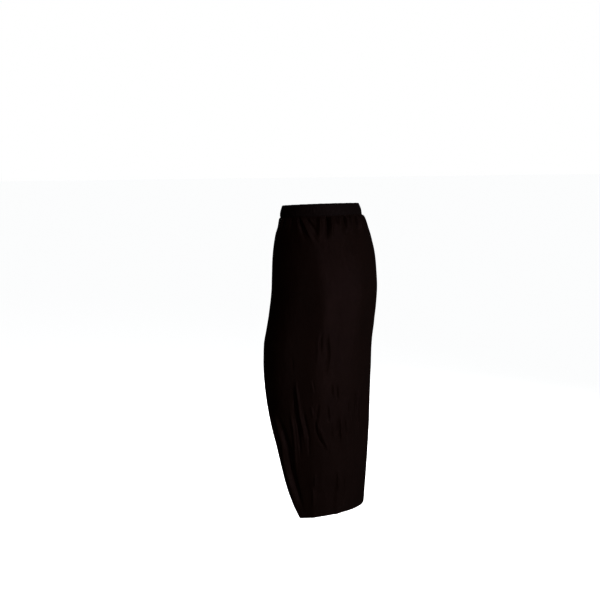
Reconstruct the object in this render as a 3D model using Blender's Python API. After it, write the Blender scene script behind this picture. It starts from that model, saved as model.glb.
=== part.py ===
"""A maxi skirt of thin jersey with an elastic waist and a high slit at the wearer's left side.

The skirt is worn: it stands open and hollow, in the pose of a wearer whose left leg is stepping
back and out through the slit. It is cut as two panels and a strip for the waist, and each is a
solid of its own: a wall lofted through sections of the skirt.

Frame, in metres: +Z up, the wearer faces -Y and the wearer's left is +X. The origin is the centre
of the waist's top opening, where the wearer's waist holds the skirt.
"""

import math
from collections import namedtuple

import bmesh
import bpy

# Driving sizes
LENGTH = 0.910  # top of the waist to the hem
BAND_HEIGHT = 0.030  # the casing of the waist elastic
BAND_WALL = 0.0030  # elastic with jersey on both sides
PANEL_WALL = 0.0018  # the jersey's wall
HEM_DEPTH = 0.020  # turned up to the inside at the hem and along the slit
HEM_EXTRA = 0.0006  # what the turning adds to the wall
HEM_STEP = 0.003  # the run over which the wall thickens
SEAM_GAP = 0.0003
SLIT_TOP = 0.375  # drop of the slit's top below the waist

# The waist sits a little higher at the back, and the skirt hangs lower at the wearer's left
BACK_RISE = 0.050  # rise of the waist per metre toward the back
BACK_RISE_FADES_BY = 0.350  # drop at which the panels hang level again, front to back
WAIST_LEFT_RISE = -0.012  # rise of the waist per metre toward the wearer's left
HEM_LEFT_RISE = -0.032  # the same at the hem

# Where the side seams lie, as turns about the skirt's axis in degrees: 0 is the wearer's left,
# 90 the back, 180 the right and 270 the front
LEFT_SEAM = -15.0
RIGHT_SEAM = 174.0

# How finely the walls are made
PANEL_COLUMNS = 44
BAND_COLUMNS = 96
BAND_RIPPLES = 24
BAND_RIPPLE = 0.0007  # how far the casing's gathers stand out
BAND_SWELL = 0.0010  # how far the casing swells between its edges
BAND_RINGS = (0.0, 0.007, 0.023, BAND_HEIGHT)
PANEL_RINGS = (
    BAND_HEIGHT + SEAM_GAP,
    0.036,
    0.044,
    0.054,
    0.066,
    0.080,
    0.100,
    0.130,
    0.170,
    0.215,
    0.260,
    0.305,
    0.345,
    SLIT_TOP,
    0.405,
    0.440,
    0.485,
    0.535,
    0.585,
    0.635,
    0.685,
    0.735,
    0.785,
    0.835,
    LENGTH - HEM_DEPTH - HEM_STEP,
    LENGTH - HEM_DEPTH,
    LENGTH,
)

# The skirt's sections: how far below the waist each lies, half its width, its depth behind and in
# front of its axis, how square it is (2 is an ellipse) and how far its axis lies to the left and back
Section = namedtuple("Section", "drop half_width back front squareness to_left to_back")
SECTIONS = (
    Section(0.000, 0.1150, 0.086, 0.086, 2.05, 0.000, 0.000),
    Section(0.030, 0.1240, 0.090, 0.088, 2.05, 0.000, 0.004),
    Section(0.055, 0.1320, 0.096, 0.092, 2.05, 0.000, 0.012),
    Section(0.080, 0.1415, 0.101, 0.096, 2.08, 0.000, 0.016),
    Section(0.110, 0.1485, 0.106, 0.099, 2.10, 0.000, 0.020),
    Section(0.150, 0.1550, 0.111, 0.102, 2.10, 0.000, 0.025),
    Section(0.200, 0.1580, 0.115, 0.104, 2.12, 0.000, 0.028),
    Section(0.250, 0.1598, 0.117, 0.105, 2.12, 0.000, 0.028),
    Section(0.300, 0.1618, 0.116, 0.105, 2.12, 0.004, 0.026),
    Section(0.350, 0.1635, 0.114, 0.105, 2.15, 0.010, 0.024),
    Section(0.400, 0.1655, 0.112, 0.105, 2.15, 0.016, 0.022),
    Section(0.500, 0.1655, 0.108, 0.105, 2.18, 0.017, 0.018),
    Section(0.600, 0.1615, 0.104, 0.106, 2.20, 0.012, 0.013),
    Section(0.700, 0.1555, 0.100, 0.108, 2.25, 0.006, 0.008),
    Section(0.800, 0.1485, 0.097, 0.110, 2.30, 0.002, 0.003),
    Section(0.910, 0.1390, 0.095, 0.112, 2.40, 0.000, 0.000),
)

# The slit's two free edges: the turn of the back panel's edge and of the front panel's at each drop
SlitEdge = namedtuple("SlitEdge", "drop back_turn front_turn")
SLIT_EDGES = (
    SlitEdge(SLIT_TOP, -15.0, -15.0),
    SlitEdge(0.440, -10.0, -26.0),
    SlitEdge(0.500, -5.5, -34.0),
    SlitEdge(0.600, 5.0, -46.0),
    SlitEdge(0.700, 19.5, -58.0),
    SlitEdge(0.800, 30.0, -68.0),
    SlitEdge(0.870, 38.5, -73.0),
    SlitEdge(0.910, 46.0, -76.0),
)

# The gathers that fan out below the waist: the turn of each, half its width in degrees, how far it
# stands out (or in, below 0) and how far down it runs
GATHER_AT_SEAM = 0.35  # the share of its height that a gather has at the waist seam
GATHER_SWELLS_BY = 0.012  # how far below the seam it has all of it
Gather = namedtuple("Gather", "turn half_width height length")
GATHERS = (
    Gather(5.0, 5.0, 0.0020, 0.050),
    Gather(17.0, 5.0, -0.0015, 0.040),
    Gather(29.0, 5.0, 0.0022, 0.045),
    Gather(41.0, 5.0, -0.0018, 0.050),
    Gather(54.0, 4.5, 0.0038, 0.065),
    Gather(63.0, 4.5, -0.0022, 0.050),
    Gather(71.0, 4.5, 0.0040, 0.070),
    Gather(79.5, 4.5, -0.0036, 0.070),
    Gather(87.0, 4.0, 0.0030, 0.055),
    Gather(101.0, 5.5, -0.0032, 0.050),
    Gather(110.0, 5.0, 0.0036, 0.060),
    Gather(119.0, 4.5, -0.0030, 0.055),
    Gather(129.0, 5.0, 0.0024, 0.045),
    Gather(140.0, 5.0, -0.0018, 0.040),
    Gather(151.0, 5.0, 0.0026, 0.050),
    Gather(161.0, 4.5, -0.0014, 0.040),
    Gather(-29.0, 5.0, 0.0024, 0.050),
    Gather(-40.0, 4.5, -0.0020, 0.045),
    Gather(-50.0, 4.5, 0.0034, 0.065),
    Gather(-60.0, 4.5, -0.0030, 0.055),
    Gather(-71.0, 5.0, 0.0028, 0.050),
    Gather(-82.0, 4.5, -0.0034, 0.070),
    Gather(-90.0, 4.0, 0.0038, 0.060),
    Gather(-101.0, 5.0, -0.0022, 0.045),
    Gather(-112.0, 4.5, 0.0032, 0.070),
    Gather(-121.0, 4.5, -0.0030, 0.055),
    Gather(-131.0, 5.0, 0.0022, 0.045),
    Gather(-143.0, 5.0, -0.0018, 0.050),
    Gather(-154.0, 5.0, 0.0026, 0.050),
    Gather(-165.0, 5.0, -0.0015, 0.040),
)

# The largest folds: the turn and drop of each end, half its width in degrees and how far it stands
# out (or in, below 0). A fold whose lower end lies below the hem runs on into it.
FOLD_ENDS = 0.4  # the share of its length over which a fold rises, and over which it dies out
Fold = namedtuple("Fold", "top_turn bottom_turn top bottom half_width height")
FOLDS = (
    Fold(20.0, 50.0, 0.560, 0.930, 3.5, 0.0040),
    Fold(30.0, 62.0, 0.580, 0.960, 4.5, -0.0055),
    Fold(52.0, 54.0, 0.470, 0.660, 3.0, -0.0035),
    Fold(55.0, 61.0, 0.450, 0.690, 3.0, 0.0038),
    Fold(48.0, 47.0, 0.520, 0.780, 3.5, 0.0036),
    Fold(77.0, 80.0, 0.540, 0.740, 3.5, -0.0030),
    Fold(84.0, 88.0, 0.340, 0.500, 3.5, -0.0025),
    Fold(100.0, 103.0, 0.560, 0.720, 3.5, 0.0025),
    Fold(66.0, 64.0, 0.720, 1.050, 3.5, 0.0030),
    Fold(96.0, 95.0, 0.740, 1.020, 4.0, 0.0028),
    Fold(118.0, 121.0, 0.520, 0.720, 3.5, -0.0028),
    Fold(-40.0, -74.0, 0.440, 1.200, 6.0, 0.0080),
    Fold(-56.0, -88.0, 0.480, 1.200, 6.5, -0.0110),
    Fold(-74.0, -104.0, 0.500, 1.200, 7.0, 0.0090),
    Fold(-95.0, -122.0, 0.460, 1.150, 8.0, -0.0060),
    Fold(-118.0, -140.0, 0.560, 1.150, 7.0, 0.0050),
    Fold(-146.0, -150.0, 0.480, 0.860, 5.0, 0.0030),
)


def table_value(rows, column, drop):
    """A column of a table at a drop between its rows, along a smooth curve."""
    drops = [row.drop for row in rows]
    values = [getattr(row, column) for row in rows]
    last = len(rows) - 1
    if drop <= drops[0]:
        return values[0]
    if drop >= drops[last]:
        return values[last]
    i = max(k for k in range(last) if drops[k] <= drop)

    def slope(k):
        before, after = max(k - 1, 0), min(k + 1, last)
        return (values[after] - values[before]) / (drops[after] - drops[before])

    span = drops[i + 1] - drops[i]
    t = (drop - drops[i]) / span
    start, end = values[i], values[i + 1]
    return (
        (2 * t**3 - 3 * t**2 + 1) * start
        + (t**3 - 2 * t**2 + t) * span * slope(i)
        + (3 * t**2 - 2 * t**3) * end
        + (t**3 - t**2) * span * slope(i + 1)
    )


def ease(t):
    """0 to 1 with level ends."""
    t = min(1.0, max(0.0, t))
    return t * t * (3 - 2 * t)


def section_point(turn, drop):
    """The point of the plain skirt at a turn about its axis and a drop below the waist."""
    half_width = table_value(SECTIONS, "half_width", drop)
    depth = table_value(SECTIONS, "back" if math.sin(math.radians(turn)) > 0 else "front", drop)
    power = table_value(SECTIONS, "squareness", drop)
    across, along = half_width * math.cos(math.radians(turn)), depth * math.sin(math.radians(turn))
    reach = (abs(across / half_width) ** power + abs(along / depth) ** power) ** (-1 / power)
    x = table_value(SECTIONS, "to_left", drop) + across * reach
    y = table_value(SECTIONS, "to_back", drop) + along * reach
    back_rise = BACK_RISE * (1 - ease(drop / BACK_RISE_FADES_BY))
    left_rise = WAIST_LEFT_RISE + (HEM_LEFT_RISE - WAIST_LEFT_RISE) * drop / LENGTH
    return x, y, back_rise * y + left_rise * x - drop


def outward(turn, drop):
    """The level direction out of the plain skirt at a point."""
    step = 0.5
    ax, ay, _ = section_point(turn - step, drop)
    bx, by, _ = section_point(turn + step, drop)
    size = math.hypot(bx - ax, by - ay)
    return (by - ay) / size, (ax - bx) / size


def turns_apart(a, b):
    return (a - b + 180.0) % 360.0 - 180.0


def gather_height(turn, drop):
    """How far the gathers below the waist stand out of the plain skirt."""
    below = drop - BAND_HEIGHT
    swell = GATHER_AT_SEAM + (1 - GATHER_AT_SEAM) * ease(below / GATHER_SWELLS_BY)
    height = 0.0
    for gather in GATHERS:
        away = turns_apart(turn, gather.turn) / gather.half_width
        height += gather.height * math.exp(-away * away) * swell * (1 - ease(below / gather.length))
    return height


def fold_height(turn, drop):
    """How far the folds stand out of the plain skirt."""
    height = 0.0
    for fold in FOLDS:
        along = (drop - fold.top) / (fold.bottom - fold.top)
        strength = ease(along / FOLD_ENDS) * ease((1 - along) / FOLD_ENDS)
        middle = fold.top_turn + (fold.bottom_turn - fold.top_turn) * along
        away = turns_apart(turn, middle) / fold.half_width
        height += fold.height * math.exp(-away * away) * strength
    return height


def panel_point(turn, drop, inward):
    """A point of a panel's wall, so far in from its outer face."""
    x, y, z = section_point(turn, drop)
    out_x, out_y = outward(turn, drop)
    out = gather_height(turn, drop) + fold_height(turn, drop) - inward
    return x + out_x * out, y + out_y * out, z


def band_point(turn, drop, inward):
    """A point of the waistband's wall, so far in from its outer face."""
    x, y, z = section_point(turn, drop)
    out_x, out_y = outward(turn, drop)
    out = -inward
    if inward == 0.0:
        ripple = BAND_RIPPLE * math.cos(math.radians(BAND_RIPPLES * turn))
        out += (BAND_SWELL + ripple) * math.sin(math.pi * drop / BAND_HEIGHT)
    return x + out_x * out, y + out_y * out, z


def panel_turns(drop, back):
    """The turns of a panel's columns at a drop, from its slit side to the right seam."""
    half_gap = math.degrees(SEAM_GAP / 2 / table_value(SECTIONS, "half_width", drop))
    if back:
        start = table_value(SLIT_EDGES, "back_turn", drop) if drop > SLIT_TOP else LEFT_SEAM
        start, end = start + half_gap, RIGHT_SEAM - half_gap
    else:
        start = table_value(SLIT_EDGES, "front_turn", drop) if drop > SLIT_TOP else LEFT_SEAM
        start, end = start - half_gap, RIGHT_SEAM - 360.0 + half_gap
    return [start + (end - start) * k / (PANEL_COLUMNS - 1) for k in range(PANEL_COLUMNS)]


def wall(name, outer, inner, closed, material):
    """A closed solid between two grids of points with the same rows and columns."""
    mesh = bmesh.new()
    out = [[mesh.verts.new(point) for point in ring] for ring in outer]
    into = [[mesh.verts.new(point) for point in ring] for ring in inner]
    columns = len(outer[0])
    steps = columns if closed else columns - 1

    def strip(ring_a, ring_b):
        for k in range(steps):
            n = (k + 1) % columns
            mesh.faces.new((ring_a[k], ring_a[n], ring_b[n], ring_b[k]))

    for upper, lower in zip(out, out[1:]):
        strip(upper, lower)
    for upper, lower in zip(into, into[1:]):
        strip(lower, upper)
    strip(into[0], out[0])
    strip(out[-1], into[-1])
    if not closed:
        for side in (0, -1):
            for upper in range(len(out) - 1):
                lower = upper + 1
                mesh.faces.new((out[upper][side], out[lower][side], into[lower][side], into[upper][side]))
    bmesh.ops.recalc_face_normals(mesh, faces=mesh.faces[:])
    data = bpy.data.meshes.new(name)
    mesh.to_mesh(data)
    mesh.free()
    data.shade_smooth()
    data.materials.append(material)
    return bpy.data.objects.new(name, data)


def jersey(name, color, roughness):
    material = bpy.data.materials.new(name)
    material.use_nodes = True
    shader = material.node_tree.nodes["Principled BSDF"]
    shader.inputs["Base Color"].default_value = (*color, 1.0)
    shader.inputs["Roughness"].default_value = roughness
    shader.inputs["Metallic"].default_value = 0.0
    return material


def make_waistband(material):
    """The gathered casing of the waist elastic, a ring."""
    turns = [360.0 * k / BAND_COLUMNS for k in range(BAND_COLUMNS)]
    outer = [[band_point(turn, drop, 0.0) for turn in turns] for drop in BAND_RINGS]
    inner = [[band_point(turn, drop, BAND_WALL) for turn in turns] for drop in BAND_RINGS]
    return wall("waistband", outer, inner, True, material)


def make_panel(name, back, material):
    """One panel from the waistband down to the hem, open along the slit."""
    outer, inner = [], []
    for drop in PANEL_RINGS:
        turns = panel_turns(drop, back)
        thick = PANEL_WALL + (HEM_EXTRA if drop >= LENGTH - HEM_DEPTH else 0.0)
        outer.append([panel_point(turn, drop, 0.0) for turn in turns])
        inner.append([panel_point(turn, drop, thick) for turn in turns])
    return wall(name, outer, inner, False, material)


def main():
    for thing in list(bpy.data.objects):
        bpy.data.objects.remove(thing, do_unlink=True)
    skirt = bpy.data.collections.new("maxi_skirt")
    bpy.context.scene.collection.children.link(skirt)
    pieces = (
        make_waistband(jersey("waistband_jersey", (0.0060, 0.0038, 0.0036), 0.75)),
        make_panel("back_panel", True, jersey("back_jersey", (0.0050, 0.0028, 0.0025), 0.70)),
        make_panel("front_panel", False, jersey("front_jersey", (0.0050, 0.0028, 0.0025), 0.70)),
    )
    for piece in pieces:
        skirt.objects.link(piece)


main()
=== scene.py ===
"""The looks of a black jersey maxi skirt with an elastic waist and a high slit in its left side.

The cloth is made as thin shells on the form of the frame's panels, with finer gathers, creases and
turned edges, and with its sewing. Metres, +Z up, the skirt's front faces -Y and its left side +X.
"""

import math
import random
from collections import namedtuple

import bpy
import numpy as np
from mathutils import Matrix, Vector, noise


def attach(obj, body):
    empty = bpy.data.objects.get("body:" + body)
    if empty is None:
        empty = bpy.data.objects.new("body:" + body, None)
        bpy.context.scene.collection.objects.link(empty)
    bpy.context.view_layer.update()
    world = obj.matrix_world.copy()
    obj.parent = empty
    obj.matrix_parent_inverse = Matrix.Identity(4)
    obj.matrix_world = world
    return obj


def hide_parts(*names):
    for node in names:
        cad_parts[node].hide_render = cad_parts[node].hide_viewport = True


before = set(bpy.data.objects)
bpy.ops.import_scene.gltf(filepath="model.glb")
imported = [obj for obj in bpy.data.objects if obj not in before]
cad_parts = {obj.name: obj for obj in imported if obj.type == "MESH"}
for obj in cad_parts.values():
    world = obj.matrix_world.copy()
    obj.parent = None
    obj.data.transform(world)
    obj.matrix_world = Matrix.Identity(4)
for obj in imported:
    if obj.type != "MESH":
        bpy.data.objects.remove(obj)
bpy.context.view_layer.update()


def table(fields, *rows):
    """A table's rows, with named values."""
    row_type = namedtuple("Row", fields)
    return [row_type(*row) for row in rows]


# The cut, as in the frame
LENGTH = 0.910
BAND_HEIGHT = 0.030
SEAM_GAP = 0.0003
SLIT_TOP = 0.375
HEM_DEPTH = 0.020
BACK_RISE = 0.050
BACK_RISE_FADES_BY = 0.350
WAIST_LEFT_RISE = -0.012
HEM_LEFT_RISE = -0.032
LEFT_SEAM = -15.0
RIGHT_SEAM = 174.0

# The cloth
JERSEY = 0.0010  # the knit's thickness
TURNING = 0.0009  # what a turned edge adds to it, on the inside
HEM_STEP = 0.0015  # the run over which the hem thickens
SLIT_STEP = 0.0025  # the same along the slit
BAND_WALL = 0.0026  # elastic between two layers
EDGE_ROUNDING = 0.5  # how far a cut edge bulges, in walls
BAND_ROUNDING = 0.45

# The sewing
THREAD = 0.00042
STITCH_PITCH = 0.0032
STITCH_LENGTH = 0.0026
# A stitch's rings: how far along it each lies, its share of the thread's width, and its lift
STITCH_RINGS = (
    (0.0, 0.45, -0.30),
    (0.12, 0.90, 0.15),
    (0.5, 1.0, 0.45),
    (0.88, 0.90, 0.15),
    (1.0, 0.45, -0.30),
)
STITCH_SIDES = 6
STITCH_FLATNESS = 0.8
THREAD_SIDES = 5
TWIN_ROWS = 0.0032  # between the two rows of a twin-needle seam
OUTER_ROW = HEM_DEPTH - 0.0020  # from the fold to the row of the two that lies further from it
COVER_LINE = OUTER_ROW - TWIN_ROWS / 2  # the middle of the zigzag that covers them inside
SLIT_SEWN_FROM = SLIT_TOP + 0.004
LINE_STEP = 0.5  # of a grid's spacing: how finely a line of sewing follows the cloth
HEM_LINE_ENDS = (0.6, 1.5)  # columns that it leaves free
SLIT_LINE_END = 1.2  # rows that it leaves free at the hem
Zigzag = namedtuple("Zigzag", "across pitch swing")
COVER = Zigzag(0.0, 0.0016, TWIN_ROWS / 2)
BAND_COVER = Zigzag(0.0, 0.0018, 0.0014)
OVERLOCK = Zigzag(0.0018, 0.0014, 0.0018)

# The seam allowances inside, pressed to the back
ALLOWANCE = 0.009
ALLOWANCE_ACROSS = (0.0006, 0.0025, 0.0050, 0.0070, ALLOWANCE)
ALLOWANCE_CLEAR = 0.00025  # between an allowance and the panel that it lies on
ALLOWANCE_WALL = 0.0009
ALLOWANCE_FROM = BAND_HEIGHT + 0.003
RIGHT_ALLOWANCE_TO = LENGTH - 0.004

# The skirt's sections at drops below the waist, as in the frame
SECTIONS = table(
    "drop half_width back front squareness to_left to_back",
    (0.000, 0.1150, 0.086, 0.086, 2.05, 0.000, 0.000),
    (0.030, 0.1240, 0.090, 0.088, 2.05, 0.000, 0.004),
    (0.055, 0.1320, 0.096, 0.092, 2.05, 0.000, 0.012),
    (0.080, 0.1415, 0.101, 0.096, 2.08, 0.000, 0.016),
    (0.110, 0.1485, 0.106, 0.099, 2.10, 0.000, 0.020),
    (0.150, 0.1550, 0.111, 0.102, 2.10, 0.000, 0.025),
    (0.200, 0.1580, 0.115, 0.104, 2.12, 0.000, 0.028),
    (0.250, 0.1598, 0.117, 0.105, 2.12, 0.000, 0.028),
    (0.300, 0.1618, 0.116, 0.105, 2.12, 0.004, 0.026),
    (0.350, 0.1635, 0.114, 0.105, 2.15, 0.010, 0.024),
    (0.400, 0.1655, 0.112, 0.105, 2.15, 0.016, 0.022),
    (0.500, 0.1655, 0.108, 0.105, 2.18, 0.017, 0.018),
    (0.600, 0.1615, 0.104, 0.106, 2.20, 0.012, 0.013),
    (0.700, 0.1555, 0.100, 0.108, 2.25, 0.006, 0.008),
    (0.800, 0.1485, 0.097, 0.110, 2.30, 0.002, 0.003),
    (0.910, 0.1390, 0.095, 0.112, 2.40, 0.000, 0.000),
)

# The slit's free edges. Near the hem the back one lies up to 2 degrees further than the frame's.
SLIT_EDGES = table(
    "drop back_turn front_turn",
    (SLIT_TOP, -15.0, -15.0),
    (0.440, -10.0, -26.0),
    (0.500, -5.5, -34.0),
    (0.600, 5.0, -46.0),
    (0.700, 19.5, -58.0),
    (0.800, 30.0, -68.0),
    (0.870, 40.5, -73.0),
    (0.910, 48.0, -76.0),
)

# The gathers below the waist that show most: the turn of each at the seam and at its lower end,
# half its width in metres, how far it stands out (or in, below 0) and how far down it runs
GATHERS = table(
    "turn end_turn half_width height length",
    (4.0, 2.0, 0.0050, 0.0026, 0.050),
    (11.0, 8.0, 0.0034, -0.0030, 0.045),
    (19.0, 17.0, 0.0050, 0.0024, 0.040),
    (28.0, 28.0, 0.0034, -0.0032, 0.055),
    (37.0, 42.0, 0.0045, 0.0026, 0.060),
    (38.5, 54.0, 0.0034, -0.0034, 0.078),
    (43.5, 64.0, 0.0038, 0.0072, 0.084),
    (50.0, 71.0, 0.0040, -0.0040, 0.068),
    (69.0, 66.5, 0.0054, 0.0076, 0.080),
    (79.0, 75.0, 0.0032, -0.0102, 0.076),
    (84.0, 81.0, 0.0038, 0.0068, 0.068),
    (90.0, 88.5, 0.0032, -0.0026, 0.034),
    (96.0, 93.0, 0.0044, 0.0040, 0.050),
    (105.0, 98.5, 0.0046, -0.0112, 0.056),
    (114.0, 107.0, 0.0046, 0.0068, 0.062),
    (126.5, 116.5, 0.0046, -0.0124, 0.062),
    (134.5, 124.0, 0.0036, 0.0072, 0.060),
    (143.0, 131.5, 0.0044, -0.0112, 0.062),
    (151.0, 142.0, 0.0045, 0.0036, 0.050),
    (155.0, 150.0, 0.0032, -0.0036, 0.058),
    (162.0, 159.0, 0.0044, 0.0028, 0.046),
    (169.0, 167.0, 0.0032, -0.0026, 0.040),
    (-24.0, -22.0, 0.0034, -0.0028, 0.046),
    (-31.0, -28.0, 0.0050, 0.0032, 0.052),
    (-39.0, -36.0, 0.0034, -0.0042, 0.064),
    (-48.0, -44.0, 0.0044, 0.0044, 0.072),
    (-55.0, -51.0, 0.0032, -0.0032, 0.050),
    (-61.0, -58.0, 0.0040, 0.0026, 0.044),
    (-68.0, -66.0, 0.0036, -0.0050, 0.080),
    (-75.0, -73.5, 0.0042, 0.0038, 0.058),
    (-82.0, -81.0, 0.0032, -0.0044, 0.066),
    (-88.5, -88.5, 0.0038, 0.0052, 0.086),
    (-95.0, -96.0, 0.0034, -0.0036, 0.052),
    (-102.0, -104.0, 0.0048, 0.0030, 0.048),
    (-109.5, -113.0, 0.0036, -0.0056, 0.078),
    (-116.0, -120.0, 0.0038, 0.0042, 0.066),
    (-123.0, -128.0, 0.0032, -0.0034, 0.050),
    (-131.0, -137.0, 0.0048, 0.0034, 0.060),
    (-139.0, -145.0, 0.0034, -0.0040, 0.066),
    (-147.0, -152.0, 0.0046, 0.0028, 0.048),
    (-155.0, -159.0, 0.0032, -0.0034, 0.056),
    (-163.0, -166.0, 0.0050, 0.0026, 0.044),
    (-171.0, -173.0, 0.0034, -0.0024, 0.040),
)
GATHER_AT_SEAM = 0.55  # the share of its height there
GATHER_SWELLS_BY = 0.009  # how far below the seam it has all of it
GATHER_LASTS = 1.6  # above 1, a gather keeps its height further down
GATHER_WIDTH = 0.85  # the share of its width at the seam
GATHER_WIDENS = 0.7  # what its lower end adds

# The waist seam: the panels' tops are sewn in between the band's two layers, which holds the
# gathers shut there, so no gap opens under the band
SEWN_UNDER = 0.0020  # how far up between the layers they reach
SEWN_IN = -0.0018  # how far in they lie there
SEWN_SHARE = 0.2  # of the gathers' height that is left there
SEWN_PLAY = 0.0005  # the most of it
SEAM_LETS_GO = 0.0070  # how far below the seam the gathers are free

# The small tucks between them
TUCK_SEED = 11
TUCK_PITCH = (0.0065, 0.0120)
TUCK_DEPTH = (0.0004, 0.0013)
TUCK_LENGTH = (0.012, 0.036)
TUCK_DRIFT = 3.0  # degrees
TUCK_HALF_WIDTH = 0.0019
TUCK_WIDENS = 1.4
TUCKS_END = 357.0
WAIST_METRES = 0.0019  # metres in a degree of turn at the waist

# Under the band the cloth stands out a little, and right at the seam it is drawn in
PUFF = 0.0016
PUFF_FULL = 0.010
PUFF_GONE = 0.060
NIP = 0.0008
NIP_GONE = 0.006

# The unevenness of hanging cloth: how far it stands out, its size across and down, and its seed
Wander = namedtuple("Wander", "height across along seed")
PANEL_WANDERS = (Wander(0.0009, 0.030, 0.110, 3.0), Wander(0.0004, 0.012, 0.035, 9.0))
PANEL_WANDERS_FULL = 0.05  # how far below the seam

# The largest folds: half their width is in degrees
FOLD_ENDS = 0.4  # of its length, over which a fold fades at each end
FOLDS = table(
    "top_turn bottom_turn top bottom half_width height",
    (20.0, 46.0, 0.560, 0.930, 3.5, 0.0014),
    (30.0, 56.0, 0.580, 0.960, 4.5, -0.0018),
    (52.0, 54.0, 0.470, 0.660, 3.0, 0.0010),
    (48.0, 47.0, 0.520, 0.780, 3.5, -0.0010),
    (100.0, 103.0, 0.560, 0.720, 3.5, 0.0025),
    (66.0, 64.0, 0.720, 1.050, 3.5, 0.0022),
    (96.0, 95.0, 0.740, 1.020, 4.0, 0.0028),
    (118.0, 121.0, 0.520, 0.720, 3.5, -0.0018),
    (-40.0, -74.0, 0.440, 1.200, 6.0, 0.0080),
    (-56.0, -88.0, 0.480, 1.200, 6.5, -0.0110),
    (-74.0, -104.0, 0.500, 1.200, 7.0, 0.0090),
    (-95.0, -122.0, 0.460, 1.150, 8.0, -0.0060),
    (-118.0, -140.0, 0.560, 1.150, 7.0, 0.0050),
    (-146.0, -150.0, 0.480, 0.860, 5.0, 0.0030),
)

# The creases: how far each stands out (or in, below 0), half its width in metres, and its path as
# pairs of drop and turn
CREASE_ENDS = 0.35  # of its length, over which a crease fades at each end


def crease_table(*rows):
    """A table of creases, whose paths are tables too."""
    rows = ((height, width, table("drop turn", *path)) for height, width, path in rows)
    return table("height half_width path", *rows)


BACK_CREASES = crease_table(
    (+0.0062, 0.0066, (
        (0.560, 15), (0.600, 20), (0.635, 25.5), (0.685, 30.5), (0.730, 30.5), (0.775, 34),
        (0.820, 38.5), (0.860, 42.5), (0.900, 47),
    )),
    (-0.0080, 0.0056, (
        (0.580, 24), (0.610, 28.5), (0.635, 32), (0.685, 38), (0.730, 40), (0.775, 42.5),
        (0.820, 46.5), (0.860, 50), (0.905, 55),
    )),
    (+0.0056, 0.0038, (
        (0.550, 5), (0.590, 10), (0.635, 16.5), (0.685, 21.5), (0.730, 25.5), (0.780, 30),
    )),
    (+0.0042, 0.0042, (
        (0.540, 44), (0.590, 44.5), (0.635, 46), (0.685, 46.5), (0.730, 46.5), (0.790, 47.5),
    )),
    (-0.0056, 0.0036, (
        (0.485, 46.5), (0.540, 49), (0.590, 50.5), (0.635, 52), (0.685, 52.5), (0.745, 53),
    )),
    (+0.0052, 0.0034, (
        (0.455, 51), (0.500, 51.5), (0.540, 53), (0.590, 54.5), (0.635, 57), (0.700, 58.5),
    )),
    (-0.0042, 0.0034, ((0.560, 58), (0.600, 59.5), (0.640, 62), (0.690, 64))),
    (-0.0021, 0.0034, ((0.410, 46), (0.440, 47), (0.470, 48))),
    (+0.0026, 0.0034, ((0.345, 70), (0.375, 70.5), (0.405, 72), (0.440, 71))),
    (-0.0029, 0.0028, ((0.350, 74), (0.370, 73), (0.390, 74.5), (0.410, 74))),
    (-0.0047, 0.0032, (
        (0.345, 79.5), (0.375, 80.5), (0.400, 83), (0.430, 83.5), (0.455, 82), (0.490, 81),
    )),
    (+0.0018, 0.0028, ((0.480, 65.5), (0.500, 67.5), (0.530, 69))),
    (-0.0018, 0.0028, ((0.485, 68), (0.505, 69.5), (0.525, 71))),
    (-0.0057, 0.0032, (
        (0.545, 74.5), (0.590, 72.5), (0.620, 71), (0.650, 72), (0.675, 75.5), (0.705, 80),
    )),
    (+0.0039, 0.0030, ((0.630, 75.5), (0.660, 77), (0.680, 80), (0.705, 83.5))),
    (+0.0018, 0.0032, ((0.590, 17), (0.620, 19), (0.650, 24))),
    (-0.0031, 0.0030, ((0.655, 62), (0.685, 62.5), (0.720, 62))),
    (-0.0026, 0.0030, ((0.560, 84), (0.585, 84.5), (0.620, 84.5))),
    (+0.0029, 0.0027, ((0.560, 66.5), (0.580, 67), (0.600, 67.5))),
    (+0.0029, 0.0027, ((0.595, 71.5), (0.617, 72), (0.640, 72.5))),
    (+0.0018, 0.0030, ((0.606, 88.5), (0.640, 89.5), (0.674, 90.5))),
    (-0.0016, 0.0028, ((0.610, 94), (0.635, 93.5), (0.660, 92.5))),
    (+0.0028, 0.0036, ((0.598, 98), (0.640, 98.5), (0.690, 99.5))),
    (-0.0032, 0.0030, ((0.604, 103), (0.640, 104), (0.676, 105.5))),
    (+0.0024, 0.0034, ((0.590, 111), (0.635, 112.5), (0.680, 113))),
    (+0.0038, 0.0046, ((0.515, 123.5), (0.600, 124.5), (0.680, 125))),
    (+0.0022, 0.0026, ((0.550, 108), (0.575, 108.5), (0.600, 109))),
    (-0.0025, 0.0027, ((0.500, 89), (0.522, 89), (0.545, 89.5))),
    (-0.0021, 0.0027, ((0.500, 94), (0.530, 94.5), (0.560, 95))),
    (-0.0028, 0.0032, ((0.530, 118.0), (0.570, 118.5), (0.610, 118.5))),
    (+0.0029, 0.0026, ((0.770, 68.5), (0.795, 67.5), (0.820, 66.5))),
    (+0.0029, 0.0026, ((0.810, 65), (0.845, 65), (0.880, 64.5))),
    (+0.0031, 0.0029, ((0.765, 95), (0.805, 95.5), (0.845, 96))),
    (-0.0020, 0.0040, ((0.790, 105), (0.835, 104), (0.890, 102))),
    (-0.0035, 0.0036, ((0.600, 132), (0.680, 134), (0.760, 137))),
    (+0.0031, 0.0036, ((0.520, 142), (0.580, 143), (0.640, 146))),
    (-0.0035, 0.0040, ((0.700, 152), (0.780, 154), (0.860, 155))),
)
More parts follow.
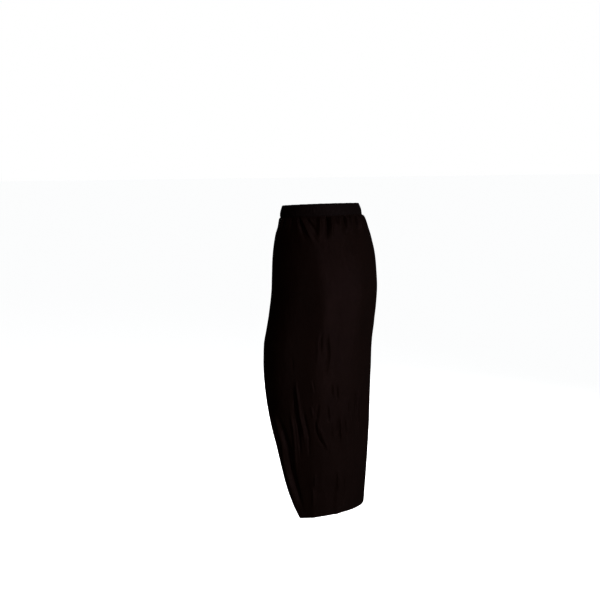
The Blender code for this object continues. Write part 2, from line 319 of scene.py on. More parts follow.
FRONT_CREASES = crease_table(
    (-0.0025, 0.0072, ((0.315, -19), (0.380, -29.5), (0.445, -45))),
    (+0.0030, 0.0066, ((0.405, -22), (0.470, -37.5), (0.535, -58.5))),
    (-0.0025, 0.0060, ((0.366, -30), (0.425, -46), (0.483, -64))),
    (-0.0036, 0.0051, ((0.502, -65), (0.580, -70), (0.658, -73))),
    (+0.0036, 0.0048, ((0.539, -77), (0.630, -80), (0.721, -85))),
    (-0.0028, 0.0054, ((0.422, -83.5), (0.500, -84.5), (0.578, -87.5))),
    (-0.0034, 0.0043, ((0.585, -91.5), (0.650, -94.5), (0.715, -93))),
    (+0.0030, 0.0043, ((0.614, -98.5), (0.685, -102.5), (0.756, -101))),
    (-0.0030, 0.0051, ((0.505, -105.5), (0.570, -108), (0.635, -112))),
    (+0.0034, 0.0048, ((0.639, -113), (0.730, -111.5), (0.821, -116.5))),
    (-0.0034, 0.0045, ((0.585, -120.5), (0.650, -123.5), (0.715, -122))),
    (+0.0034, 0.0054, ((0.682, -127), (0.760, -131), (0.838, -135))),
    (-0.0028, 0.0054, ((0.539, -136.5), (0.630, -137.5), (0.721, -143))),
    (+0.0028, 0.0054, ((0.619, -149), (0.710, -150.5), (0.801, -147.5))),
    (-0.0028, 0.0060, ((0.698, -157.5), (0.795, -160), (0.892, -161.5))),
    (-0.0025, 0.0043, ((0.770, -87.5), (0.815, -90), (0.861, -91))),
    (+0.0028, 0.0043, ((0.754, -95.5), (0.825, -97), (0.896, -98.5))),
    (-0.0025, 0.0043, ((0.808, -117.5), (0.860, -119), (0.905, -121.5))),
    (-0.0018, 0.0072, ((0.315, -71.5), (0.380, -74), (0.445, -75.5))),
    (+0.0018, 0.0072, ((0.285, -104), (0.350, -102.5), (0.415, -105.5))),
)

# The fullest lines at the back of the hips, where the cloth turns from the back to the sides: the
# left one's turn and how far it stands out, by drop. The right one mirrors it, and is flatter.
HIP_LINES = table(
    "drop turn height",
    (0.045, 46, 0.0000),
    (0.100, 55, 0.0024),
    (0.150, 62, 0.0048),
    (0.250, 68, 0.0061),
    (0.350, 69, 0.0061),
    (0.450, 70.5, 0.0050),
    (0.600, 73, 0.0032),
    (0.750, 76, 0.0018),
    (0.910, 78, 0.0012),
)
HIP_LINE_HALF_WIDTH = 0.036
RIGHT_HIP_SHARE = 0.45

# The front's edge along the slit: the turned band curls, so a crest lies along it and a trough
# beyond it
EDGE_CREST = 0.0026
EDGE_CREST_AT = 0.015
EDGE_CREST_HALF_WIDTH = 0.009
EDGE_TROUGH = -0.0034
EDGE_TROUGH_AT = 0.036
EDGE_TROUGH_HALF_WIDTH = 0.0108
EDGE_TOP = 0.520
EDGE_FULL = 0.640
EDGE_FADES = 0.780
EDGE_GONE = 0.900

# The waistband: it swells between its edges, its gathers are fine and broad, and it is drawn in at
# the row of stitches that closes the casing and at its seam. Shares run from 0 at its top to 1.
BAND_SWELL = 0.0010
BAND_WANDERS = (Wander(0.0010, 0.0042, 0.030, 21.0), Wander(0.0007, 0.016, 0.040, 27.0))
BAND_WANDERS_AT_EDGE = 0.35
BAND_TOP_WAVE = Wander(0.0006, 0.010, 0.010, 33.0)
CASING_SHARE = 0.86
CASING_GROOVE = 0.0008
CASING_GROOVE_HALF_WIDTH = 0.035
BAND_NIP = 0.0010
BAND_NIP_FROM = 0.90
BAND_SHARES = (
    0.0, 0.02, 0.05, 0.10, 0.20, 0.30, 0.40, 0.50, 0.60, 0.70, 0.80, 0.83, CASING_SHARE, 0.89, 0.94,
    0.98, 1.0,
)

# Mesh sizes
BACK_GRID = (188, 258)  # rows, columns
FRONT_GRID = (188, 240)
BAND_COLUMNS = 420
# Rows lie closer where the cloth is gathered, creased or turned
GATHERED_DENSER = 2.2
GATHERED_FOR = 0.10
CREASED_DENSER = 0.8
CREASED_FROM = 0.45
CREASED_BY = 0.55
DENSER_ROWS = table(
    "drop half_width more",
    (LENGTH - HEM_DEPTH, 0.003, 3.0),
    (LENGTH, 0.006, 1.5),
    (BAND_HEIGHT + 0.003, 0.006, 4.0),
)

# The looks of the cloth: its darkest and lightest colour, the width of a knitted column and the
# height of a loop in metres, its roughness and its gloss's tint
Look = namedtuple("Look", "name dark light wale course roughness gloss_tint")
SKIRT_LOOK = Look(
    "black_jersey",
    (0.0058, 0.0021, 0.0013),
    (0.0120, 0.0050, 0.0034),
    0.0011,
    0.0009,
    0.44,
    (1.0, 0.62, 0.62),
)
BAND_LOOK = Look(
    "waist_jersey",
    (0.0050, 0.0024, 0.0020),
    (0.0100, 0.0052, 0.0044),
    0.0010,
    0.0009,
    0.50,
    (1.0, 0.72, 0.76),
)
JERSEY_SPECULAR = 0.06
FUZZ_POWER = 1.5
FUZZ_ROUGHNESS = 0.52  # what the fibres' fuzz adds where the cloth turns away
LOOP_SLANT = 1.6
LOOP_ROUNDING = 0.6  # below 1, loops and ribs are fuller
RIB_ROUNDING = 0.5
FUZZ_NOISE = (900.0, 3.0)  # scale, detail
FUZZ_SHARE = 0.35
DYE_NOISE = (14.0, 5.0)
# The colour ramp takes the dye's uneven tone and painted shade in the dips between the knit's loops
DYE_AND_SHADE_RANGE = (0.25, 0.80)
KNIT_SHADE_SHARE = 0.45  # of the colour's unevenness
BUMP_STRENGTH = 0.35
BUMP_DISTANCE = 0.00025
THREAD_ROUGHNESS = 0.5
THREAD_SPECULAR = 0.10
THREAD_DARK = (0.006, 0.004, 0.004, 1.0)
THREAD_LIGHT = (0.014, 0.010, 0.010, 1.0)
TWIST_SCALE = 1400.0
TWIST_DISTORTION = 2.0

# The camera, worked out from the photograph: degrees and metres from the centre of the waist
CAMERA_AZIMUTH = 155.0
CAMERA_DISTANCE = 2.60
CAMERA_HEIGHT = 0.15
CAMERA_PITCH = 9.4
CAMERA_YAW = 1.315
CAMERA_LENS = 53.6
SENSOR_WIDTH = 36.0

# The floor and the light of the studio. Lights: how far each lies round from the camera in degrees,
# its distance and height, its size, its power in watts, its spread in degrees and its colour
FLOOR_Z = -1.14
FLOOR_REACH = 40.0
FLOOR_GLOW = 0.86
LIGHTS = table(
    "name round distance height size power spread color",
    ("key", 56.0, 2.6, -0.60, (0.5, 0.9), 4.9, 60.0, (0.98, 0.98, 1.07)),
    ("top", 42.0, 2.2, 2.20, (0.5, 0.5), 4.6, 60.0, (1.0, 0.97, 1.05)),
    ("edge", -22.0, 3.0, -1.00, (0.3, 0.3), 1.5, 60.0, (1.0, 1.0, 1.0)),
    ("front_key", 190.0, 2.8, 0.2, (0.8, 1.6), 30.0, 120.0, (1.0, 1.0, 1.0)),
)
LIGHTS_AIM_AT = (0.0, 0.0, -0.45)
SOFT_SIDE = 60.0  # degrees from the camera's direction to the bright side of the surround
SOFT_UP = -0.10
SOFT_LEAST = 0.045
SOFT_MOST = 0.42
SOFT_POWER = 2.5  # above 1, the bright side is narrower
SOFT_COLOR = (0.95, 0.98, 1.0, 1.0)
VIEW_GAMMA = 0.75


def column_at(rows, column, drops):
    """A table's column at an array of drops, along a smooth curve."""
    at = np.array([row.drop for row in rows])
    value = np.array([getattr(row, column) for row in rows])
    slope = np.empty_like(value)
    slope[1:-1] = (value[2:] - value[:-2]) / (at[2:] - at[:-2])
    slope[0] = (value[1] - value[0]) / (at[1] - at[0])
    slope[-1] = (value[-1] - value[-2]) / (at[-1] - at[-2])
    drops = np.clip(drops, at[0], at[-1])
    i = np.clip(np.searchsorted(at, drops, side="right") - 1, 0, len(at) - 2)
    span = at[i + 1] - at[i]
    t = (drops - at[i]) / span
    return (
        (2 * t**3 - 3 * t**2 + 1) * value[i]
        + (t**3 - 2 * t**2 + t) * span * slope[i]
        + (3 * t**2 - 2 * t**3) * value[i + 1]
        + (t**3 - t**2) * span * slope[i + 1]
    )


def ease(t):
    t = np.clip(t, 0.0, 1.0)
    return t * t * (3 - 2 * t)


def turns_apart(a, b):
    return (a - b + 180.0) % 360.0 - 180.0


def bell(distance, half_width):
    return np.exp(-((distance / half_width) ** 2))


def unit(vectors):
    return vectors / np.linalg.norm(vectors, axis=-1, keepdims=True)


def plain_point(turn, drop):
    """Points of the plain skirt, for arrays of turns and drops."""
    half_width = column_at(SECTIONS, "half_width", drop)
    sine = np.sin(np.radians(turn))
    back, front = column_at(SECTIONS, "back", drop), column_at(SECTIONS, "front", drop)
    depth = np.where(sine > 0, back, front)
    power = column_at(SECTIONS, "squareness", drop)
    across, along = half_width * np.cos(np.radians(turn)), depth * sine
    reach = (np.abs(across / half_width) ** power + np.abs(along / depth) ** power) ** (-1 / power)
    x = column_at(SECTIONS, "to_left", drop) + across * reach
    y = column_at(SECTIONS, "to_back", drop) + along * reach
    back_rise = BACK_RISE * (1 - ease(drop / BACK_RISE_FADES_BY))
    left_rise = WAIST_LEFT_RISE + (HEM_LEFT_RISE - WAIST_LEFT_RISE) * drop / LENGTH
    return np.stack([x, y, back_rise * y + left_rise * x - drop], axis=-1)


def outward(turn, drop):
    """The level directions out of the plain skirt, and its metres per degree of turn."""
    step = 0.5
    run = plain_point(turn + step, drop) - plain_point(turn - step, drop)
    size = np.hypot(run[..., 0], run[..., 1])
    level = np.stack([run[..., 1] / size, -run[..., 0] / size, np.zeros_like(size)], axis=-1)
    return level, size / (2 * step)


def gather_height(turn, drop, metres):
    """The gathers that fan out below the waist."""
    below = drop - BAND_HEIGHT
    swell = GATHER_AT_SEAM + (1 - GATHER_AT_SEAM) * ease(below / GATHER_SWELLS_BY)
    height = np.zeros_like(turn)
    for gather in GATHERS:
        along = np.clip(below / gather.length, 0.0, 1.0)
        middle = gather.turn + (gather.end_turn - gather.turn) * along
        away = turns_apart(turn, middle) * metres
        width = gather.half_width * (GATHER_WIDTH + GATHER_WIDENS * along)
        height += gather.height * bell(away, width) * swell * (1 - ease(along**GATHER_LASTS))
    return height


def make_tucks():
    """Where the small tucks at the waist seam lie, all round."""
    draw = random.Random(TUCK_SEED)
    tucks, turn = [], 0.0
    while turn < TUCKS_END:
        depth, length = draw.uniform(*TUCK_DEPTH), draw.uniform(*TUCK_LENGTH)
        tucks.append((turn, depth, length, draw.uniform(-TUCK_DRIFT, TUCK_DRIFT)))
        turn += draw.uniform(*TUCK_PITCH) / WAIST_METRES
    return tucks


TUCKS = make_tucks()


def tuck_height(turn, drop, metres):
    """The small tucks at the waist seam: narrow and deep at the seam, wide and shallow below."""
    below = drop - BAND_HEIGHT
    height = np.zeros_like(turn)
    for at, depth, length, drift in TUCKS:
        along = np.clip(below / length, 0.0, 1.0)
        away = turns_apart(turn, at + drift * along) * metres
        width = TUCK_HALF_WIDTH * (1 + TUCK_WIDENS * along)
        height -= depth * bell(away, width) * (1 - ease(along))
    return height


def fold_height(turn, drop):
    """The largest folds, below the hips."""
    height = np.zeros_like(turn)
    for fold in FOLDS:
        along = (drop - fold.top) / (fold.bottom - fold.top)
        strength = ease(along / FOLD_ENDS) * ease((1 - along) / FOLD_ENDS)
        middle = fold.top_turn + (fold.bottom_turn - fold.top_turn) * along
        height += fold.height * bell(turns_apart(turn, middle), fold.half_width) * strength
    return height


def crease_height(creases, turn, drop, metres):
    """The creases, which fade at both ends."""
    height = np.zeros_like(turn)
    for crease in creases:
        path = crease.path
        along = (drop - path[0].drop) / (path[-1].drop - path[0].drop)
        strength = ease(along / CREASE_ENDS) * ease((1 - along) / CREASE_ENDS)
        away = turns_apart(turn, column_at(path, "turn", drop)) * metres
        height += crease.height * bell(away, crease.half_width) * strength
    return height


def hip_height(turn, drop, metres):
    """The swell along the hips' fullest lines."""
    line = column_at(HIP_LINES, "turn", drop)
    away_left = turns_apart(turn, line) * metres
    away_right = turns_apart(turn, 180.0 - line) * metres
    swell = bell(away_left, HIP_LINE_HALF_WIDTH)
    swell = swell + RIGHT_HIP_SHARE * bell(away_right, HIP_LINE_HALF_WIDTH)
    return column_at(HIP_LINES, "height", drop) * swell


def slit_turn(back, drop):
    """The turn of a panel's free edge, or of its left seam above the slit."""
    column = "back_turn" if back else "front_turn"
    return np.where(drop > SLIT_TOP, column_at(SLIT_EDGES, column, drop), LEFT_SEAM)


def inside_slit(back, turn, drop, metres):
    """How far inside a panel's free edge points lie, along the cloth."""
    return turns_apart(turn, slit_turn(back, drop)) * metres * (1 if back else -1)


def front_edge_height(turn, drop, metres):
    """The curl along the front's edge of the slit."""
    inside = inside_slit(False, turn, drop, metres)
    strength = ease((drop - EDGE_TOP) / (EDGE_FULL - EDGE_TOP))
    strength = strength * ease((EDGE_GONE - drop) / (EDGE_GONE - EDGE_FADES))
    crest = EDGE_CREST * bell(inside - EDGE_CREST_AT, EDGE_CREST_HALF_WIDTH)
    trough = EDGE_TROUGH * bell(inside - EDGE_TROUGH_AT, EDGE_TROUGH_HALF_WIDTH)
    return (crest + trough) * strength


def wander_height(points, wander):
    """Smooth unevenness, which runs as far down the cloth and across it as the wander says."""
    flat = points.reshape(-1, 3)
    scale = np.array([1 / wander.across, 1 / wander.across, 1 / wander.along])
    values = [noise.noise(Vector(p * scale + wander.seed)) for p in flat]
    return wander.height * np.array(values).reshape(points.shape[:-1])


def panel_surface(back, turn, drop):
    """Points of a panel's outer face, for arrays of turns and drops."""
    plain = plain_point(turn, drop)
    level, metres = outward(turn, drop)
    creases = BACK_CREASES if back else FRONT_CREASES
    below = drop - BAND_HEIGHT
    height = gather_height(turn, drop, metres) + tuck_height(turn, drop, metres)
    height += fold_height(turn, drop) + crease_height(creases, turn, drop, metres)
    height += hip_height(turn, drop, metres)
    if not back:
        height += front_edge_height(turn, drop, metres)
    height += PUFF * ease(below / PUFF_FULL) * (1 - ease(below / PUFF_GONE))
    height -= NIP * (1 - ease(below / NIP_GONE))
    for wander in PANEL_WANDERS:
        height += ease(below / PANEL_WANDERS_FULL) * wander_height(plain, wander)
    sewn = SEWN_IN + np.clip(SEWN_SHARE * height, -SEWN_PLAY, SEWN_PLAY)
    free = ease(below / SEAM_LETS_GO)
    height = height * free + sewn * (1 - free)
    return plain + level * height[..., None]


def surface_normals(points, toward):
    """Normals of a grid of points, on the side that the directions in toward point to."""
    across = np.gradient(points, axis=1)
    down = np.gradient(points, axis=0)
    normals = unit(np.cross(across, down))
    return normals * np.sign((normals * toward).sum(-1, keepdims=True))


def grid_mesh(name, outer, inner, uv, closed, material, rounding=EDGE_ROUNDING):
    """A thin wall between two grids of points, with rounded edges and the cloth's own UVs.

    Where it is closed, each row runs all round, and otherwise the wall has two side edges as well.
    """
    rows, columns = outer.shape[:2]
    points = [outer.reshape(-1, 3), inner.reshape(-1, 3)]
    uvs = [uv.reshape(-1, 2), uv.reshape(-1, 2)]
    index = np.arange(rows * columns).reshape(rows, columns)
    faces = []
    count = 2 * rows * columns

    def strip(a, b):
        after = np.roll(np.arange(len(a)), -1)
        for k in range(len(a) if closed else len(a) - 1):
            faces.append((a[k], b[k], b[after[k]], a[after[k]]))

    def rim_points(edge_a, edge_b, beyond):
        """Points halfway between two edges of the wall, and a little beyond it."""
        here = np.concatenate(points)
        a, b = here[edge_a], here[edge_b]
        thick = np.linalg.norm(a - b, axis=-1, keepdims=True)
        return (a + b) / 2 + beyond * thick * rounding

    def add_rim(edge_a, edge_b, beyond):
        nonlocal count
        middle = rim_points(edge_a, edge_b, unit(beyond))
        rim = np.arange(count, count + len(middle))
        count += len(middle)
        points.append(middle)
        uvs.append(np.concatenate(uvs)[edge_a])
        strip(edge_a, rim)
        strip(rim, edge_b)

    inner_index = index + rows * columns
    for r in range(rows - 1):
        strip(index[r], index[r + 1])
        strip(inner_index[r + 1], inner_index[r])
    add_rim(index[-1], inner_index[-1], outer[-1] - outer[-2])
    add_rim(inner_index[0], index[0], outer[0] - outer[1])
    if not closed:
        top_rim, bottom_rim = count - columns, count - 2 * columns
        for side, near in ((0, 1), (columns - 1, columns - 2)):
            a, b = index[:, side], inner_index[:, side]
            if side > 0:
                a, b = b, a
            middle = rim_points(a, b, unit(outer[:, side] - outer[:, near]))
            points.append(middle[1:-1])
            uvs.append(uv[1:-1, side])
            rim = np.arange(count, count + rows - 2)
            count += rows - 2
            rim = np.concatenate([[top_rim + side], rim, [bottom_rim + side]])
            strip(rim, a)
            strip(b, rim)
    return finish_mesh(name, np.concatenate(points), faces, np.concatenate(uvs), material)


def finish_mesh(name, points, faces, uvs, material):
    """A piece from its points and faces, with a UV for each point."""
    data = bpy.data.meshes.new(name)
    data.from_pydata(points.tolist(), [], [tuple(int(i) for i in f) for f in faces])
    layer = data.uv_layers.new(name="cloth")
    corners = np.zeros(len(data.loops), np.int32)
    data.loops.foreach_get("vertex_index", corners)
    layer.data.foreach_set("uv", np.asarray(uvs, np.float32)[corners].ravel())
    data.validate()
    data.shade_smooth()
    data.materials.append(material)
    piece = bpy.data.objects.new(name, data)
    bpy.context.scene.collection.objects.link(piece)
    return piece


def spaced_drops(rows):
    """Rows from the waist seam to the hem, closer together where the cloth needs it."""
    drops = np.linspace(BAND_HEIGHT - SEWN_UNDER, LENGTH, 2000)
    density = 1.0 + GATHERED_DENSER * (1 - ease((drops - BAND_HEIGHT) / GATHERED_FOR))
    density += CREASED_DENSER * ease((drops - CREASED_FROM) / (CREASED_BY - CREASED_FROM))
    for spot in DENSER_ROWS:
        density += spot.more * bell(drops - spot.drop, spot.half_width)
    total = np.concatenate([[0], np.cumsum((density[1:] + density[:-1]) / 2)])
    return np.interp(np.linspace(0, total[-1], rows), total, drops)


def panel_grid(back, size):
    """Turns and drops of a panel's grid: rows run across, and columns down from seam to hem."""
    rows, columns = size
    drop = spaced_drops(rows)[:, None] * np.ones((1, columns))
    _, metres = outward(np.full(rows, LEFT_SEAM), drop[:, 0])
    half_gap = SEAM_GAP / 2 / metres
    start = slit_turn(back, drop[:, 0])
    if back:
        start, end = start + half_gap, RIGHT_SEAM - half_gap
    else:
        start, end = start - half_gap, RIGHT_SEAM - 360.0 + half_gap
    share = np.linspace(0, 1, columns)
    turn = start[:, None] + (end - start)[:, None] * share[None, :]
    return turn, drop


def cloth_uv(points, drop):
    """UVs in metres: across the cloth from the panel's middle, and down it."""
    steps = np.linalg.norm(np.diff(points, axis=1), axis=-1)
    along = np.concatenate([np.zeros((len(points), 1)), np.cumsum(steps, axis=1)], axis=1)
    middle = along[:, along.shape[1] // 2][:, None]
    return np.stack([along - middle, -drop], axis=-1)


Cloth = namedtuple("Cloth", "back turn drop outer inner normals")


def make_panel(name, back, size, material):
    """A panel's cloth, thicker where its hem and its slit's edge are turned in."""
    turn, drop = panel_grid(back, size)
    outer = panel_surface(back, turn, drop)
    level, metres = outward(turn, drop)
    normals = surface_normals(outer, level)
    inside = inside_slit(back, turn, drop, metres)
    on_hem = ease((drop - (LENGTH - HEM_DEPTH)) / HEM_STEP)
    on_slit = ease((HEM_DEPTH - inside) / SLIT_STEP) * (drop > SLIT_TOP)
    thick = JERSEY + TURNING * np.maximum(on_hem, on_slit)
    inner = outer - normals * thick[..., None]
    piece = grid_mesh(name, outer, inner, cloth_uv(outer, drop), False, material)
    return piece, Cloth(back, turn, drop, outer, inner, normals)


def band_point(turn, share):
    """Points of the waistband's outer face: share runs from 0 at its top to 1 at its seam."""
    drop = share * BAND_HEIGHT
    plain = plain_point(turn, drop)
    level, _ = outward(turn, drop)
    swell = np.sin(math.pi * share)
    gathers = sum(wander_height(plain, wander) for wander in BAND_WANDERS)
    height = BAND_SWELL * swell
    height += gathers * (BAND_WANDERS_AT_EDGE + (1 - BAND_WANDERS_AT_EDGE) * swell)
    height -= BAND_NIP * ease((share - BAND_NIP_FROM) / (1 - BAND_NIP_FROM))
    height -= CASING_GROOVE * bell(share - CASING_SHARE, CASING_GROOVE_HALF_WIDTH)
    rise = wander_height(plain, BAND_TOP_WAVE) * (1 - share)
    return plain + level * height[..., None] + np.array([0, 0, 1.0]) * rise[..., None]


def make_band(material):
    """The waistband, and the grids of its outer and inner faces."""
    turns = np.arange(BAND_COLUMNS) * 360.0 / BAND_COLUMNS
    turn, share = np.meshgrid(turns, BAND_SHARES)
    outer = band_point(turn, share)
    level, _ = outward(turn, share * BAND_HEIGHT)
    inner = outer - level * BAND_WALL
    around = np.concatenate([[0], np.cumsum(np.linalg.norm(np.diff(outer[0], axis=0), axis=-1))])
    uv = np.stack([np.tile(around, (len(BAND_SHARES), 1)), -share * BAND_HEIGHT], axis=-1)
    piece = grid_mesh("waistband_cloth", outer, inner, uv, True, material, BAND_ROUNDING)
    return piece, outer, inner


def on_grid(grid, row, column):
    """Values between a grid's points, at fractional rows and columns."""
    rows, columns = grid.shape[:2]
    r = np.clip(row.astype(int), 0, rows - 2)
    c = np.clip(column.astype(int), 0, columns - 2)
    u, v = (row - r)[:, None], (column - c)[:, None]
    upper = grid[r, c] * (1 - v) + grid[r, c + 1] * v
    lower = grid[r + 1, c] * (1 - v) + grid[r + 1, c + 1] * v
    return upper * (1 - u) + lower * u


def evenly(path, normals, pitch):
    """A path's points and normals at even steps along it."""
    steps = np.linalg.norm(np.diff(path, axis=0), axis=-1)
    at = np.concatenate([[0], np.cumsum(steps)])
    marks = np.arange(0, at[-1], pitch)
    return [
        np.stack([np.interp(marks, at, values[:, k]) for k in range(3)], -1)
        for values in (path, normals)
    ]


def tube_faces(faces, first, rings, sides):
    """Adds the faces of a closed tube whose rings of points follow each other."""
    for ring in range(rings - 1):
        a, b = first + ring * sides, first + (ring + 1) * sides
        for n in range(sides):
            m = (n + 1) % sides
            faces.append((a + n, a + m, b + m, b + n))
    last = first + (rings - 1) * sides
    faces.append(tuple(first + n for n in reversed(range(sides))))
    faces.append(tuple(last + n for n in range(sides)))


def stitch_row(points, faces, path, normals):
    """Adds a row of stitches along a path: each is a short thread whose ends dip into the cloth."""
    starts, outs = evenly(path, normals, STITCH_PITCH)
    for k in range(len(starts) - 1):
        way = unit(starts[k + 1] - starts[k]) * STITCH_LENGTH
        out = unit(outs[k])
        side = unit(np.cross(way, out))
        first = len(points)
        for along, width, lift in STITCH_RINGS:
            middle = starts[k] + way * along + out * THREAD * lift
            for n in range(STITCH_SIDES):
                turn = 2 * math.pi * n / STITCH_SIDES
                offset = side * math.cos(turn) + out * math.sin(turn) * STITCH_FLATNESS
                points.append(middle + offset * THREAD / 2 * width)
        tube_faces(faces, first, len(STITCH_RINGS), STITCH_SIDES)


def thread_piece(name, points, faces, material):
    """A piece made of thread, whose material needs no UVs of its own."""
    points = np.array(points)
    return finish_mesh(name, points, faces, points[:, :2], material)


def zigzag_line(points, faces, path, normals, zigzag, side=1):
    """Adds one unbroken thread that swings from side to side of a path."""
    base, outs = evenly(path, normals, zigzag.pitch)
    sides = unit(np.cross(np.gradient(base, axis=0), outs))
    swings = np.where(np.arange(len(base)) % 2 == 0, zigzag.swing, -zigzag.swing)
    line = base + sides * (side * zigzag.across + swings)[:, None]
    ways = np.gradient(line, axis=0)
    first = len(points)
    for middle, way, out in zip(line, unit(ways), unit(outs)):
        beside = unit(np.cross(way, out))
        for n in range(THREAD_SIDES):
            turn = 2 * math.pi * n / THREAD_SIDES
            points.append(middle + (beside * math.cos(turn) + out * math.sin(turn)) * THREAD / 2)
    tube_faces(faces, first, len(line), THREAD_SIDES)


def row_at(cloth, drop):
    """A panel's fractional row at a drop."""
    return np.interp(drop, cloth.drop[:, 0], np.arange(len(cloth.drop)))


def column_of(cloth, turns, rows, sign=1):
    """A panel's fractional columns at turns in whole rows: sign is -1 where its turns run down."""
    columns = np.arange(cloth.turn.shape[1])
    pairs = zip(turns, rows)
    return np.array([np.interp(sign * t, sign * cloth.turn[r], columns) for t, r in pairs])


def hem_line(cloth, up):
    """Rows and columns of a panel's grid along its hem, at a height above the fold."""
    first, last = HEM_LINE_ENDS
    column = np.arange(first, cloth.turn.shape[1] - last, LINE_STEP)
    return np.full_like(column, row_at(cloth, LENGTH - up)), column


def slit_line(cloth, inside):
    """Rows and columns of a panel's grid along its slit's edge, at a distance inside the fold."""
    rows = len(cloth.drop)
    row = np.arange(row_at(cloth, SLIT_SEWN_FROM), rows - SLIT_LINE_END, LINE_STEP)
    drop = np.interp(row, np.arange(rows), cloth.drop[:, 0])
    sign = 1 if cloth.back else -1
    start = slit_turn(cloth.back, drop)
    turn = start + inside / outward(start, drop)[1] * sign
    return row, column_of(cloth, turn, np.minimum(row.astype(int), rows - 1), sign)


def sew_turnings(name, line, cloths, material):
    """A turned edge of both panels: twin-needle rows outside, and their zigzag cover inside."""
    points, faces = [], []
    for cloth in cloths:
        for inside in (OUTER_ROW, OUTER_ROW - TWIN_ROWS):
            row, column = line(cloth, inside)
            normals = on_grid(cloth.normals, row, column)
            stitch_row(points, faces, on_grid(cloth.outer, row, column), normals)
        row, column = line(cloth, COVER_LINE)
        normals = on_grid(cloth.normals, row, column)
        zigzag_line(points, faces, on_grid(cloth.inner, row, column), -normals, COVER)
    return thread_piece(name, points, faces, material)


def sew_band(outer, inner, material):
    """The row that closes the casing, outside, and its zigzag inside."""
    points, faces = [], []
    outside = np.concatenate([outer, outer[:, :1]], axis=1)
    inside = np.concatenate([inner, inner[:, :1]], axis=1)
    column = np.arange(0, BAND_COLUMNS, LINE_STEP)
    row = np.full_like(column, BAND_SHARES.index(CASING_SHARE))
    level = on_grid(unit(outside - inside), row, column)
    stitch_row(points, faces, on_grid(outside, row, column), level)
    zigzag_line(points, faces, on_grid(inside, row, column), -level, BAND_COVER)
    return thread_piece("waist_stitches", points, faces, material)


def make_allowances(back, material, thread):
    """The overlocked edges of the side seams, inside, on the back panel."""
    points, faces = [], []
    pieces = []
    for name, at_left, bottom in (
        ("left_seam_allowance", True, SLIT_TOP),
        ("right_seam_allowance", False, RIGHT_ALLOWANCE_TO),
    ):
        row = np.arange(math.ceil(row_at(back, ALLOWANCE_FROM)), row_at(back, bottom), 1.0)
        whole = row.astype(int)
        drop = back.drop[whole, 0]
        start = back.turn[whole, 0 if at_left else -1]
        metres = outward(start, drop)[1]
        near, normals = [], []
        for inside in ALLOWANCE_ACROSS:
            turn = start + inside / metres * (1 if at_left else -1)
            column = column_of(back, turn, whole)
            normals.append(on_grid(back.normals, row, column))
            near.append(on_grid(back.inner, row, column) - normals[-1] * ALLOWANCE_CLEAR)
        near, normals = np.stack(near, axis=1), np.stack(normals, axis=1)
        far = near - normals * ALLOWANCE_WALL
        across = np.tile(ALLOWANCE_ACROSS, (len(row), 1))
        down = np.tile(-drop[:, None], (1, len(ALLOWANCE_ACROSS)))
        uv = np.stack([across, down], axis=-1)
        pieces.append(grid_mesh(name, near, far, uv, False, material))
        zigzag_line(points, faces, far[:, -1], -normals[:, -1], OVERLOCK, 1 if at_left else -1)
    pieces.append(thread_piece("overlock_thread", points, faces, thread))
    return pieces


def link(tree, out, into):
    tree.links.new(out, into)


def math_node(tree, operation, a, b=None):
    """The output of a new node that works on numbers or on other nodes' outputs."""
    node = tree.nodes.new("ShaderNodeMath")
    node.operation = operation
    for socket, value in zip(node.inputs, (a, b)):
        if value is None:
            continue
        if isinstance(value, (int, float)):
            socket.default_value = value
        else:
            link(tree, value, socket)
    return node.outputs[0]


def noise_node(tree, place, scale, detail):
    node = tree.nodes.new("ShaderNodeTexNoise")
    node.inputs["Scale"].default_value = scale
    node.inputs["Detail"].default_value = detail
    link(tree, place.outputs["Object"], node.inputs["Vector"])
    return node.outputs["Fac"]


